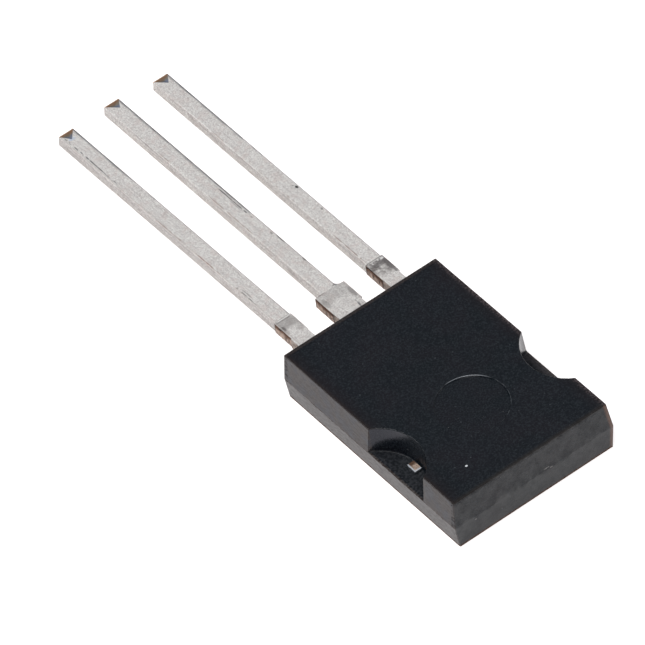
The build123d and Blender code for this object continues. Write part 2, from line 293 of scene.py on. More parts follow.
print("resin: clouds of 2.4 mm, soot of 1.3 mm and quartz of 0.07 mm")

# %% [markdown]
# The walls drag along the mould as the part is pushed out, which rubs streaks into their skin. Inside
# the notches the clip has rubbed the skin, most of all on the half towards the far end, and low down
# a brownish film has stayed there.


# %% Rubbed walls
def rubbed_walls(add, point, colour):
    """Streaks on the long sides, and the film low in the notches."""
    streaky = add("Mapping", {"Vector": point.place, "Scale": (0.6, 0.3, 1.0)})
    point.rubbed = patches(add, streaky, 0.08, 0.42, 0.58, Roughness=0.75)
    scuffs = add("Math", [point.rubbed, point.wall], operation="MULTIPLY")
    point.scuffs = add("Math", [scuffs, point.long_side], operation="MULTIPLY")
    colour = paint(add, colour, point.scuffs, 0.6, "#3d3635")
    film = stretch(add, point.facing[1], -0.7, -0.42, 0.06, within=point.in_notch)
    low_down = stretch(add, point.z, 0.0, PARTING_HEIGHT + 0.5, 0.15)
    return paint(add, colour, film, 0.6, "#7d6250", within=low_down)


print("streaks of 0.08 mm, drawn out along the long sides")

# %% [markdown]
# A film of brown resin shows along the edges, where the soot was held back, and over the far end the
# edge is worn greyer. One long edge, the edge over the leads and the shelves of the notches are rubbed
# pale, in dots, by the neighbours in the packing tube. Round the stub of the base the resin is brown.
# The shelf of the far notch gets painted light, where its wall shades it.

# %% Worn edges
STUB_HALO = (3.0, 1.56)
SHELF_HEIGHTS = (PARTING_HEIGHT - 0.02, PARTING_HEIGHT + 0.02)


def worn_rims(add, point, colour):
    """Brown resin along the edges of the front, and the greyer edge over the far end."""
    blush = stretch(add, point.aside, FRONT_EDGE - 0.35, HALF_WIDTH, 0.35)
    colour = paint(add, colour, blush, 0.5, "#1d1214", within=point.on_front)
    side_rim = stretch(add, point.aside, FRONT_EDGE - 0.1, HALF_WIDTH, 0.08)
    end_rim = stretch(add, point.endways, END_EDGE - 0.04, FAR_END, 0.05)
    end_rim = add("Math", [end_rim, 0.5], operation="MULTIPLY")
    rim = add("Math", [side_rim, end_rim], operation="MAXIMUM")
    colour = paint(add, colour, rim, 0.5, "#332722", within=point.on_front)
    worn_end = stretch(add, point.y, low=END_EDGE - 0.09, soft=0.1)
    near_top = stretch(add, point.z, low=FRONT_FACE - 0.06, soft=0.05)
    return paint(add, colour, worn_end, 0.7, "#3a3735", within=near_top)


def dotted_edges_and_shelf_light(add, point, colour):
    """Pale dots on one long edge, the edge over the leads and the notches' shelves; painted light on
    the far shelf.
    """
    dots = patches(add, point.place, 0.09, 0.42, 0.6, 2.0)
    tube_edge = stretch(add, point.x, -HALF_WIDTH, 0.12 - FRONT_EDGE, 0.12, within=point.on_front)
    colour = paint(add, colour, tube_edge, 0.7, "#6f6465", within=dots)
    near_top = stretch(add, point.z, low=FRONT_FACE - 0.10, soft=0.03)
    lead_edge = stretch(add, point.y, high=LEAD_END + FRONT_INSET + 0.03, soft=0.05, within=near_top)
    uneven = add("Math", [dots, 0.6, 0.4], operation="MULTIPLY_ADD")
    colour = paint(add, colour, lead_edge, 0.38, "#584f4b", within=uneven)

    level = add("Math", [point.facing[2], LEVEL_TILT], operation="GREATER_THAN")
    shelf = stretch(add, point.z, *SHELF_HEIGHTS, within=level)
    colour = paint(add, colour, shelf, 0.5, "#171a1e")
    shelf_rim = stretch(add, point.aside, HALF_WIDTH - 0.06, HALF_WIDTH, 0.05, within=shelf)
    colour = paint(add, colour, shelf_rim, 0.7, "#453429")
    dotted_shelf = add("Math", [dots, shelf], operation="MULTIPLY")
    colour = paint(add, colour, dotted_shelf, 0.7, "#3a3c40")
    colour = paint(add, colour, dots, 0.5, "#857c74", within=shelf_rim)
    halo = blotch(add, point.place, point.aside, point.y, STUB_HALO, (0.10, 0.08))
    colour = paint(add, colour, halo, 0.8, "#7a5638", within=dotted_shelf)
    # Painted light on the shelf of the far notch, which its wall shades.
    far_shelf_light = stretch(add, point.x, -HALF_WIDTH, 0.2 - HALF_WIDTH, 0.15)
    return paint(add, colour, far_shelf_light, 0.5, "#5f5859", within=shelf)


print("stub's brown ring at", STUB_HALO, "mm")

# %% [markdown]
# The two mould halves met half-way up and left a scratched line there, and the far end has a few
# nicks. One upright corner is rubbed down to the brown resin, and the small radius of all four gets a
# grey painted highlight. The walls lean in with the mould's draft, and so does the rubbed strip.

# %% Parting line, nicks and corners
CORNER_RUB = 0.16
END_NICKS = [
    ((-0.60, 1.19), (0.13, 0.025)),
    ((-0.81, 1.10), (0.09, 0.030)),
    ((2.95, 0.95), (0.06, 0.020)),
]


def parting_line(add, point, colour):
    """Scratched line where the mould halves met, and the nicks on the far end."""
    line = stretch(add, point.z, PARTING_HEIGHT - 0.03, PARTING_HEIGHT + 0.01, 0.02, within=point.wall)
    point.seam = add("Math", [line, point.long_side], operation="MULTIPLY")
    along = add("Mapping", {"Vector": point.place, "Scale": (0.3, 0.3, 1.0)})
    scratch = patches(add, along, 0.10, 0.54, 0.62)
    colour = paint(add, colour, scratch, 0.6, "#7d7673", within=point.seam)
    colour = paint(add, colour, point.seam, 0.7, "#4c362c")
    for centre, half_sizes in END_NICKS:
        nick = blotch(add, point.place, point.x, point.z, centre, half_sizes)
        colour = paint(add, colour, nick, 0.8, "#8b8785", within=point.to_far)
    return colour


def rubbed_corners_and_highlight(add, point, colour):
    """One corner rubbed down to the brown resin, and a grey painted highlight on the radius of all
    four.
    """
    draft = FRONT_INSET / (FRONT_FACE - PARTING_HEIGHT)
    off_seam = add("Math", [point.z, PARTING_HEIGHT], operation="SUBTRACT")
    off_seam = add("Math", [off_seam], operation="ABSOLUTE")
    leaning = add("Math", [off_seam, -draft, point.x], operation="MULTIPLY_ADD")
    corner = stretch(add, leaning, high=CORNER_RUB - HALF_WIDTH, soft=0.06, within=point.end_face)
    colour = paint(add, colour, corner, 0.85, "#775a4d", within=point.to_far)
    # Painted highlight: the small radius of each upright corner is painted lighter grey where it turns
    # from the side to the end.
    turn = add("Math", [point.facing[0], point.facing[1]], operation="MULTIPLY")
    turn = add("Math", [turn], operation="ABSOLUTE")
    turn = stretch(add, turn, low=0.15, soft=0.1)
    return paint(add, colour, turn, 0.9, "#4a4646", within=point.on_end)


print("nicks on the far end:", len(END_NICKS))

# %% [markdown]
# A pin of the mould left a shallow round mark on the front. Its rim is painted pale: broken pale wear
# on one half, and a painted highlight on the side that faces the light. The foot of the walls has a
# thin brown line, and one big grain of quartz lies bare on the front.

# %% Marks on the front
PALE_GRAIN = (2.18, 4.08)
RING_MIDDLE = (0.0, 1.695)
RING_RADIUS = 1.52
RING_HIGHLIGHT_SIDE = (-0.485, -0.875, 0.0)
RING_RIM = (RING_RADIUS - 0.014, RING_RADIUS + 0.012)
RING_WALL = (RING_RADIUS - 0.07, RING_RADIUS - 0.012)


def pin_mark_and_highlight(add, point, colour):
    """Pale rim of the pin's mark: broken wear, and a painted highlight on the side facing the light."""
    ring_x = add("Math", [point.x, RING_MIDDLE[0]], operation="SUBTRACT")
    ring_y = add("Math", [point.y, RING_MIDDLE[1]], operation="SUBTRACT")
    spoke = add("CombineXYZ", [ring_x, ring_y])
    radius = add("VectorMath", [spoke], operation="LENGTH").outputs["Value"]
    # On the side of the rim that faces the light the pale paint is a painted highlight; the broken
    # noise adds pale wear on one half.
    worn = add("VectorMath", [spoke, RING_HIGHLIGHT_SIDE], operation="DOT_PRODUCT")
    worn = stretch(add, worn.outputs["Value"], low=0.88 * RING_RADIUS, soft=0.1)
    worn = add("Math", [worn, 0.7], operation="MULTIPLY")
    kept_side = stretch(add, ring_x, high=0.5, soft=0.8)
    broken = patches(add, point.place, 0.3, 0.45, 0.6, 4.0)
    broken = add("Math", [broken, kept_side], operation="MULTIPLY")
    worn = add("Math", [broken, 0.18, worn], operation="MULTIPLY_ADD")
    rim = stretch(add, radius, *RING_RIM, soft=0.008, within=point.on_front)
    ring_wall = stretch(add, radius, *RING_WALL, soft=0.006, within=kept_side)
    point.ring_wall = stretch(add, point.facing[2], 0.2, 0.9, 0.05, within=ring_wall)
    return paint(add, colour, rim, 1.0, "#a2a6ab", within=worn)


def foot_and_grain(add, point, colour):
    """A thin brown line at the foot of the walls, and one bare grain on the front."""
    point.foot = stretch(add, point.z, high=0.08, soft=0.02, within=point.wall)
    colour = paint(add, colour, point.foot, 0.8, "#6a432d")
    grain = blotch(add, point.place, point.x, point.y, PALE_GRAIN, (0.048, 0.043))
    return paint(add, colour, grain, 1.0, "#e6eaec", within=point.on_front)


print("ring", 2 * RING_RADIUS, "mm across at", RING_MIDDLE)

# %% [markdown]
# The skin doesn't mirror the same everywhere. It is duller where it is scuffed, on rounded edges, in
# the notches, along the line of the mould and at the foot, below that line on the long sides, and
# above it on the ends. What the long sides mirror is slightly warm, and in the notches slightly cold.

# %% How the skin mirrors
PLAIN_ROUGHNESS = 0.2
PLAIN_GLOSS = 0.55


def skin_roughness(add, point):
    """Roughness of the skin, higher on rounded edges and where the notches are rubbed."""
    rounded = stretch(add, point.facing[2], 0.15, 0.97)
    point.rounded = add("Math", [rounded, point.on_sides], operation="MULTIPLY")
    rubbed_half = stretch(add, point.facing[1], high=-0.1, soft=0.25, within=point.in_notch)
    foot_line = stretch(add, point.z, PARTING_HEIGHT - 0.01, PARTING_HEIGHT + 0.1, within=point.notch)
    foot_line = stretch(add, point.facing[1], high=0.05, soft=0.15, within=foot_line)
    point.rubbed_off = add("Math", [foot_line, rubbed_half], operation="MAXIMUM")
    roughness = PLAIN_ROUGHNESS
    for mask, change in ((point.clouds, 0.04), (point.rounded, 0.15), (point.rubbed_off, 0.3)):
        roughness = add("Math", [mask, change, roughness], operation="MULTIPLY_ADD")
    return roughness


def skin_gloss(add, point):
    """Specular level of the skin: what each place adds to or takes from it."""
    drift = add("TexNoise", {"Vector": point.place, "Scale": per_mm(0.45), "Detail": 4.0})
    cloudy_end = add("MapRange", {"Value": drift, "From Min": 0.4, "From Max": 0.6})
    cloudy_end = add("Math", [cloudy_end, point.on_end], operation="MULTIPLY")
    below = add("Math", [point.z, PARTING_HEIGHT], operation="LESS_THAN")
    point.long_lower = add("Math", [point.long_side, below], operation="MULTIPLY")
    border = add("Math", [drift, 0.8, point.z], operation="MULTIPLY_ADD")
    end_upper = stretch(add, border, low=PARTING_HEIGHT + 0.4, soft=0.06, within=point.on_end)
    rubbed_end = add("Math", [point.rubbed, point.on_end], operation="MULTIPLY")
    far_top = add("Math", [point.y, 0.0], operation="GREATER_THAN")
    far_top = add("Math", [far_top, point.on_end], operation="MULTIPLY")
    ragged = add("Math", [point.rubbed, 0.07, point.z], operation="MULTIPLY_ADD")
    far_top = stretch(add, ragged, low=FRONT_FACE - 0.06, soft=0.1, within=far_top)
    gloss = PLAIN_GLOSS
    for mask, change in (
        (point.scuffs, -0.24),
        (rubbed_end, -0.08),
        (point.on_end, 0.13),
        (cloudy_end, -0.14),
        (far_top, -0.24),
        (point.in_notch, -0.09),
        (point.rounded, -0.24),
        (point.rubbed_off, -0.45),
        (point.long_lower, -0.19),
        (end_upper, -0.17),
        (point.seam, -0.25),
        (point.foot, -0.45),
        (point.ring_wall, -0.45),
    ):
        gloss = add("Math", [mask, change, gloss], operation="MULTIPLY_ADD")
    return gloss


def skin_tint(add, point):
    """Tint of what the skin mirrors: stained warm and cold on the long sides, cold in the notches."""
    stains = patches(add, point.place, 0.5, 0.44, 0.56, 5.0)
    tint = paint(add, "#ffefe9", stains, 1.0, "#f0f0ff")
    tint = paint(add, tint, point.long_lower, 0.7, "#ffe3d9")
    tint = paint(add, "#ffffff", point.long_side, 1.0, tint, within=point.wall)
    return paint(add, tint, point.in_notch, 1.0, "#eeeeff")


print("plain skin: roughness", PLAIN_ROUGHNESS, "and specular level", PLAIN_GLOSS)

# %% [markdown]
# Now the steps run in turn. Their order matters, because each paints over what the ones before it
# laid down: the resin first, then what the mould did, then wear, and the one bare grain last.

# %% Epoxy material
CRATER_DEPTH = 0.0014
EPOXY_STEPS = [
    rubbed_walls,
    worn_rims,
    dotted_edges_and_shelf_light,
    parting_line,
    rubbed_corners_and_highlight,
    pin_mark_and_highlight,
    foot_and_grain,
]


def black_glass_filled_epoxy():
    """Dark satin epoxy with the marks of its mould, its clip and its travels."""
    material, add = new_material("black_glass_filled_epoxy")
    point = places_on_block(add)
    colour = resin_colour(add, point)
    for step in EPOXY_STEPS:
        colour = step(add, point, colour)
    mirror = {"Roughness": skin_roughness(add, point), "IOR": 1.5}
    mirror["Specular_IOR_Level"] = skin_gloss(add, point)
    mirror["Specular_Tint"] = skin_tint(add, point)
    craters = add("TexNoise", {"Vector": point.place, "Scale": per_mm(0.07), "Detail": 2.0})
    finish_surface(add, craters, CRATER_DEPTH, Base_Color=colour, **mirror)
    return material


epoxy = black_glass_filled_epoxy()
print(epoxy.name, len(epoxy.node_tree.nodes), "nodes")

# %% [markdown]
# ## Tin plate over copper
#
# The leads are stamped from copper strip and plated with matt tin. Its crystals are a twentieth of a
# millimetre across and scatter light almost like chalk, so the metal looks pale grey from every side
# and mirrors very little: three quarters of the shader is a plain scatterer. Fine lines run along the
# lead, where the strip was rolled and slit. One long edge is worn dark in places. On the other, the
# copper's brown shows together with a painted shade that dims the edge's highlight, and the sides get
# painted shade too.

# %% Tin plate
def plate_and_side_shade(add, point, lead):
    """Colour and grain of the plate away from the cuts, and painted shade on its sides."""
    drawn = add("Mapping", {"Vector": point.place, "Scale": (1.0, 1.0, 0.4)})
    crystals = {"Vector": drawn, "Scale": per_mm(0.05), "Detail": 3.0, "Roughness": 0.75}
    point.crystals = add("TexNoise", {**crystals, "Distortion": 0.6})
    grain = add("MapRange", {"Value": point.crystals, "From Min": 0.39, "From Max": 0.61})
    colour = paint(add, "#cdc6c2", grain, 1.0, "#fffdf8")
    rosy = patches(add, point.place, 0.3, 0.5, 0.66)
    colour = paint(add, colour, rosy, 0.3, "#dccac3")
    # Painted shade on the sides: a little on two leads, more on the gate lead, whose sides get the most
    # light. The sides' dust grows with it.
    colour = paint(add, colour, point.sideways, lead["side_shade"], "#b4aeab")
    dust = patches(add, point.place, 0.07, 0.5, 0.62, 1.0)
    colour = paint(add, colour, dust, 0.3 + 0.6 * lead["side_shade"], "#8d837e", within=point.sideways)

    along = add("Mapping", {"Vector": point.place, "Scale": (1.0, 0.03, 1.0)})
    rolled = {"Vector": along, "Scale": per_mm(0.05), "Detail": 3.0, "Roughness": 0.7}
    point.rolled = add("TexNoise", rolled)
    lines = add("MapRange", {"Value": point.rolled, "From Min": 0.5, "From Max": 0.66})
    shown = add("Math", [point.sideways, 0.5, 0.24], operation="MULTIPLY_ADD")
    return paint(add, colour, lines, 1.0, "#9c9391", within=shown)


def worn_edges_and_shade(add, point, lead, colour):
    """One long edge worn dark towards the tip, and a brownish painted shade on the other's rolled edge.
    """
    slow = add("Mapping", {"Vector": point.place, "Scale": (1.0, 0.15, 1.0)})
    uneven = add("TexNoise", {"Vector": slow, "Scale": per_mm(0.12), "Detail": 4.0})
    upper = add("Math", [1.0, point.sideways], operation="SUBTRACT")

    worn = stretch(add, point.distance, *lead["worn"], 1.2)
    worn = add("Math", [worn, 0.4, uneven], operation="MULTIPLY_ADD")
    worn = add("MapRange", {"Value": worn, "From Min": 0.6, "From Max": 0.7})
    reach = add("Math", [uneven, 0.12, point.across], operation="MULTIPLY_ADD")
    edge = stretch(add, reach, high=0.14 - HALF_LEAD, soft=0.05, within=upper)
    colour = paint(add, colour, worn, 0.9, "#56585d", within=edge)

    slit_edge = stretch(add, point.across, high=0.036 - HALF_LEAD, soft=0.012, within=upper)
    beyond_dam = add("Math", [point.distance, lead["dam"][1]], operation="GREATER_THAN")
    colour = paint(add, colour, slit_edge, 0.8, "#7b7a7e", within=beyond_dam)
    # Brownish painted shade along the rolled edge, which dims its highlight, as strong as the shade on
    # the lead's sides.
    rolled_edge_shade = stretch(add, point.across, HALF_LEAD - 0.06, HALF_LEAD - 0.012, 0.008)
    return paint(add, colour, rolled_edge_shade, lead["side_shade"], "#a3928a")


def scored_line(add, point, across, start, end):
    """Mask of a thin broken line along the lead, between two distances from the moulding."""
    along = add("Mapping", {"Vector": point.place, "Scale": (1.0, 0.35, 1.0)})
    dashes = patches(add, along, 0.10, 0.42, 0.52)
    wander = add("Math", [dashes, 0.02, point.across], operation="MULTIPLY_ADD")
    reach = stretch(add, point.distance, start, end, 0.15, within=dashes)
    return stretch(add, wander, across - 0.012, across + 0.028, 0.012, within=reach)


print("plated faces, worn edges and scored lines: 3 recipes")

# %% [markdown]
# ## Bare copper at the cuts
#
# Wherever the plated strip was cut afterwards, copper shows, brown with age: on the sides of the wide
# stretch, where the dam bar was punched out, and in the dent and the end face of each tip. A punch
# first shears and burnishes the metal, which leaves a dark smooth band, and then tears the rest, which
# stays rough and paler. Between that stretch and the moulding a thin brown film of resin covers the
# sides. The base's two stub ends, in the notches, were cut in the same way.
#
# First come the small marks that make each lead its own.

# %% Marks and scores on the leads
# Marks that the tools and the handling left on the upper faces, and one painted highlight near the gate
# lead's tip. Each has its place from the lead's middle and from the moulding, its half sizes the same
# way round, its strength and its colour.
MARKS = {
    "main_terminal_lead": [
        ((-0.34, 1.53), (0.11, 0.50), 0.75, "#706b6a"),
        ((-0.05, 1.80), (0.36, 0.12), 0.60, "#706b6a"),
        ((0.00, 2.07), (0.36, 0.022), 0.70, "#f5f2ee"),
        ((-0.30, 2.00), (0.09, 0.06), 0.80, "#fbf9f5"),
        ((-0.12, 2.02), (0.05, 0.05), 0.70, "#f5f2ee"),
        ((0.17, 1.98), (0.04, 0.06), 0.70, "#f5f2ee"),
        ((-0.25, 7.43), (0.06, 0.08), 0.95, "#2b2827"),
        ((-0.19, 7.60), (0.03, 0.04), 0.80, "#6c6664"),
        ((-0.24, 5.78), (0.04, 0.06), 0.70, "#75706e"),
    ],
    "mounting_base": [
        ((-0.64, 1.40), (0.09, 0.30), 0.75, "#9c9693"),
        ((0.55, 1.55), (0.12, 0.30), 0.55, "#8d8783"),
        ((0.46, 2.07), (0.24, 0.022), 0.85, "#6f5d55"),
        ((-0.30, 2.16), (0.06, 0.030), 0.85, "#56504e"),
        ((-0.33, 4.08), (0.04, 0.12), 0.85, "#5f5b5a"),
        ((-0.34, 5.60), (0.04, 0.28), 0.85, "#5f5b5a"),
        ((-0.25, 6.10), (0.04, 0.08), 0.55, "#7a7573"),
    ],
    "gate_lead": [
        ((0.00, 1.80), (0.42, 0.26), 0.40, "#a19c99"),
        ((0.31, 1.62), (0.06, 0.14), 0.80, "#6a6563"),
        ((-0.01, 2.03), (0.40, 0.022), 0.65, "#827b78"),
        ((-0.01, 2.10), (0.36, 0.020), 0.80, "#fbf9f5"),
        ((0.01, 2.15), (0.34, 0.015), 0.50, "#8e8784"),
        # Painted highlight, pale blue, just beyond the dent of the gate lead's tip.
        ((0.04, 15.84), (0.15, 0.08), 0.75, "#cfdaea"),
    ],
}

# Thin broken lines along the upper faces: the place across, start and end, strength and colour.
SCORES = {
    "main_terminal_lead": [
        (0.335, 2.2, 4.2, 0.75, "#8a6a60"),
        (0.335, 6.6, 9.2, 0.55, "#96786c"),
        (0.345, 11.5, 12.2, 0.50, "#96786c"),
    ],
    "mounting_base": [
        (-0.20, 7.3, 10.0, 1.0, "#2f2b2b"),
        (-0.13, 8.0, 8.7, 0.50, "#6d6866"),
        (0.34, 6.6, 9.4, 0.65, "#8a6a60"),
        (0.335, 12.1, 12.6, 0.60, "#8a6a60"),
    ],
    "gate_lead": [
        (0.31, 3.5, 4.7, 0.75, "#5d5654"),
        (0.21, 3.8, 4.6, 0.60, "#7d7572"),
        (0.33, 5.8, 7.2, 0.80, "#8a5f50"),
        (0.34, 8.1, 9.8, 0.65, "#8a6a60"),
        (0.26, 12.6, 16.1, 0.85, "#4f4a4c"),
        (0.25, 14.2, 15.1, 0.90, "#35313a"),
    ],
}
print("marks on the leads:", sum(len(marks) for marks in MARKS.values()))

# %% [markdown]
# The material finds every cut face by its place along the lead and by the way it faces, so that no
# face has to be picked by hand.

# %% Cut faces
STUB_MIDDLE = (3.11, 1.835)
STUB_HALF_LENGTH = 0.25
TIP_BURNISHED = 0.12


def torn_copper(add, point, burnished):
    """Colour of a cut face: a dark burnished band under the upper edge, then paler torn copper."""
    upright = add("Mapping", {"Vector": point.place, "Scale": (1.0, 1.0, 0.3)})
    tears = patches(add, upright, 0.08, 0.42, 0.64)
    torn = paint(add, "#cdb6a8", tears, 1.0, "#5f5048")
    wander = add("TexNoise", {"Vector": point.place, "Scale": per_mm(0.4), "Detail": 2.0})
    height = add("Math", [wander, 0.35, point.z], operation="MULTIPLY_ADD")
    bronze = stretch(add, height, low=LEAD_TOP - burnished + 0.10, soft=0.03)
    torn = paint(add, torn, bronze, 0.9, "#755340")
    band = stretch(add, height, LEAD_TOP - 0.5 * burnished + 0.14, LEAD_TOP + 0.13, 0.015)
    return paint(add, torn, band, 1.0, "#271b18")


def grimy_stretch(add, point, lead, colour):
    """Grime that the punch pressed into the wide stretch, less of it on the tops of the crystals."""
    grime = add("TexNoise", {"Vector": point.place, "Scale": per_mm(0.3), "Detail": 6.0})
    middle = 0.5 * sum(lead["dam"])
    outward = {"Value": point.distance, "From Min": middle - 1.0, "From Max": middle + 1.0}
    outward = add("MapRange", {**outward, "To Min": -0.35, "To Max": 0.35})
    grime = add("Math", [grime, outward])
    grime = add("Math", [point.across, -0.2, grime], operation="MULTIPLY_ADD")
    stain = add("MapRange", {"Value": grime, "From Min": 0.31, "From Max": 0.54})
    stain = add("Math", [stain, point.on_dam], operation="MULTIPLY")
    tops = add("TexNoise", {"Vector": point.place, "Scale": per_mm(0.05), "Detail": 3.0})
    tops = add("MapRange", {"Value": tops, "From Min": 0.6, "From Max": 0.42, "To Min": 0.66})
    return paint(add, colour, stain, lead["stained"], "#67615f", within=tops)


def cut_sides(add, point, lead, colour):
    """Bare copper on the sides of the wide stretch, and resin film between it and the moulding."""
    dam_start, dam_end = lead["dam"]
    root = add("Math", [point.distance, dam_start], operation="LESS_THAN")
    patchy = patches(add, point.place, 0.2, 0.4, 0.65)
    film = paint(add, "#b5a69b", patchy, 1.0, "#7c6a60")
    colour = paint(add, colour, root, 1.0, film, within=point.sideways)
    colour = paint(add, colour, point.cut, 1.0, torn_copper(add, point, lead["burnished"]))
    inner_part = stretch(add, point.distance, dam_start + 0.05, dam_end - 0.04, 0.02)
    cut_ends = add("Math", [point.cut, inner_part], operation="SUBTRACT", use_clamp=True)
    return paint(add, colour, cut_ends, 0.8, "#3a2a25")


def cut_tip(add, point, lead, colour):
    """Brown copper in the dent of the tip and on its end face."""
    to_tip = add("Math", [lead["tip"], point.distance], operation="SUBTRACT")
    leaning = stretch(add, point.facing[2], 0.5, 0.992, 0.003)
    inner = add("Math", [point.across], operation="ABSOLUTE")
    inner = stretch(add, inner, high=HALF_LEAD - 0.04, within=leaning)
    dent = stretch(add, to_tip, high=DENT_LENGTH, within=inner)
    wander = add("TexNoise", {"Vector": point.place, "Scale": per_mm(0.12), "Detail": 3.0})
    wander = add("Math", [wander, 0.25, to_tip], operation="MULTIPLY_ADD")
    rim = stretch(add, wander, high=0.36, soft=0.05)
    depth = paint(add, "#6f7787", rim, 1.0, "#7a7265")
    outer = stretch(add, wander, high=0.26, soft=0.06)
    depth = paint(add, depth, outer, 1.0, "#8b6b52")
    colour = paint(add, colour, dent, 1.0, depth)
    lip = stretch(add, to_tip, high=0.035, within=leaning)
    colour = paint(add, colour, lip, 0.8, "#d3a274")
    end_face = stretch(add, point.facing[1], high=-0.9, soft=0.05)
    end_face = stretch(add, to_tip, high=0.08, within=end_face)
    return paint(add, colour, end_face, 1.0, torn_copper(add, point, TIP_BURNISHED))


def stub_ends(add, point, colour):
    """The base's stub ends: matt peach copper, pale where the plate wrapped round, brown at one end."""
    stub_x, stub_y = STUB_MIDDLE
    inside = add("Math", [point.distance, 0.0], operation="LESS_THAN")
    patchy = patches(add, point.place, 0.08, 0.4, 0.65)
    copper = paint(add, "#cdb5a4", patchy, 1.0, "#94806f")
    brown_end = stretch(add, point.y, high=stub_y - 0.35 * STUB_HALF_LENGTH, soft=0.06)
    copper = paint(add, copper, brown_end, 0.9, "#4f3019")
    far_edge = stretch(add, point.y, low=stub_y + 0.75 * STUB_HALF_LENGTH, soft=0.04)
    outer = add("Math", [point.x], operation="ABSOLUTE")
    outer_edge = stretch(add, outer, low=stub_x + 0.11, soft=0.02)
    plated = add("Math", [far_edge, outer_edge], operation="MAXIMUM")
    copper = paint(add, copper, plated, 0.9, "#dde3ea")
    low_down = stretch(add, point.z, high=PARTING_HEIGHT + 0.07)
    copper = paint(add, copper, low_down, 0.8, "#2b3036")
    return paint(add, colour, inside, 1.0, copper)


print("cut faces begin", [lead["dam"][0] for lead in LEADS.values()], "mm from the moulding")

# %% [markdown]
# Each lead gets a material of its own, because its place and its marks differ. The recipe is the same:
# first the measures along and across the lead, which follow the splay of its tip, and then the layers.

# %% The leads' material
CRYSTAL_DEPTH = 0.006
METAL_SHARE = 0.25
TIN_ROUGHNESS = 0.45
TIN_GLOSS = 0.5


def matt_tin_plate(node_name, lead):
    """Matt tin plate for one lead, with bare copper where its tools cut it."""
    material, add = new_material("matt_tin_plate_" + node_name)
    point = surface_place(add)
    point.distance = add("Math", [LEAD_END, point.y], operation="SUBTRACT")
    splayed = {"From Min": lead["dam"][1], "From Max": lead["tip"]}
    splayed.update({"To Min": lead["middle"], "To Max": lead["middle"] + lead["splay"]})
    centre = add("MapRange", {"Value": point.distance, **splayed})
    point.across = add("Math", [point.x, centre], operation="SUBTRACT")
    outward = add("Math", [point.facing[0]], operation="ABSOLUTE")
    point.sideways = add("Math", [outward, 0.9], operation="GREATER_THAN")
    point.on_dam = stretch(add, point.distance, *lead["dam"])
    point.cut = add("Math", [point.sideways, point.on_dam], operation="MULTIPLY")

    colour = plate_and_side_shade(add, point, lead)
    colour = worn_edges_and_shade(add, point, lead, colour)
    for across, start, end, strength, score_colour in SCORES[node_name]:
        line = scored_line(add, point, across, start, end)
        colour = paint(add, colour, line, strength, score_colour)
    colour = grimy_stretch(add, point, lead, colour)
    for centre, half_sizes, strength, mark_colour in MARKS[node_name]:
        mark = blotch(add, point.place, point.across, point.distance, centre, half_sizes)
        colour = paint(add, colour, mark, strength, mark_colour)
    colour = cut_sides(add, point, lead, colour)
    colour = cut_tip(add, point, lead, colour)
    if node_name == "mounting_base":
        colour = stub_ends(add, point, colour)

    roughness = add("Math", [point.crystals, 0.2, TIN_ROUGHNESS], operation="MULTIPLY_ADD")
    height = add("Math", [point.rolled, 0.5, point.crystals], operation="MULTIPLY_ADD")
    gloss = add("Math", [point.cut, -0.45, TIN_GLOSS], operation="MULTIPLY_ADD")
    mirror = {"Metallic": METAL_SHARE, "Roughness": roughness, "Specular_IOR_Level": gloss}
    finish_surface(add, height, CRYSTAL_DEPTH, Base_Color=colour, **mirror)
    print(material.name, len(material.node_tree.nodes), "nodes")
    return material


plates = {name: matt_tin_plate(name, lead) for name, lead in LEADS.items()}

# %% [markdown]
# ## What is sealed inside
#
# The die, its solder and the two bond wires lie inside the epoxy and can't be seen. They get their
# real finishes all the same, so that the part can be opened up in a drawing.


# %% Inner materials
def grained(name, grain_mm, detail, shades, bump_mm, drawn=1.0, **finish):
    """Material in two shades mixed by a grain, which can be drawn out along the part."""
    material, add = new_material(name)
    place = add("TexCoord").outputs["Object"]
    place = add("Mapping", {"Vector": place, "Scale": (1.0, drawn, 1.0)})
    grain = add("TexNoise", {"Vector": place, "Scale": per_mm(grain_mm), "Detail": detail})
    colour = paint(add, shades[0], grain, 1.0, shades[1])
    finish_surface(add, grain, bump_mm, Base_Color=colour, **finish)
    return material


def metallised_silicon():
    """Die with a pale aluminium top, slightly grainy, and dark glass on the border."""
    material, add = new_material("metallised_silicon")
    point = surface_place(add)
    grain = add("TexNoise", {"Vector": point.place, "Scale": per_mm(0.04), "Detail": 2.0})
    metal = paint(add, "#c9c9c6", grain, 1.0, "#b4b4b2")
    on_top = add("Math", [point.facing[2], 0.9], operation="GREATER_THAN")
    colour = paint(add, "#3b4257", on_top, 1.0, metal)
    finish_surface(add, grain, 0.002, Base_Color=colour, Metallic=0.9, Roughness=0.35)
    return material


# Lead-rich solder is grey and slightly grainy where it froze.
SOLDER_SHADES = ("#8f9094", "#75767b")
solder = grained("soft_solder", 0.12, 4.0, SOLDER_SHADES, 0.01, Metallic=1.0, Roughness=0.42)

# Bond wire is bright from the drawing die, with very fine lines along it.
WIRE_FINISH = dict(drawn=0.15, Metallic=1.0, Roughness=0.28)
wire_metal = grained("drawn_aluminium_wire", 0.03, 2.0, ("#dcdcdd", "#c2c3c6"), 0.002, **WIRE_FINISH)

node_materials = {
    "moulded_body": epoxy,
    "triac_die": metallised_silicon(),
    "die_solder": solder,
    "main_terminal_wire": wire_metal,
    "gate_wire": wire_metal,
    **plates,
}
for name, material in node_materials.items():
    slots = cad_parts[name].data.materials
    slots.clear()
    slots.append(material)
print("materials on", len(node_materials), "nodes")

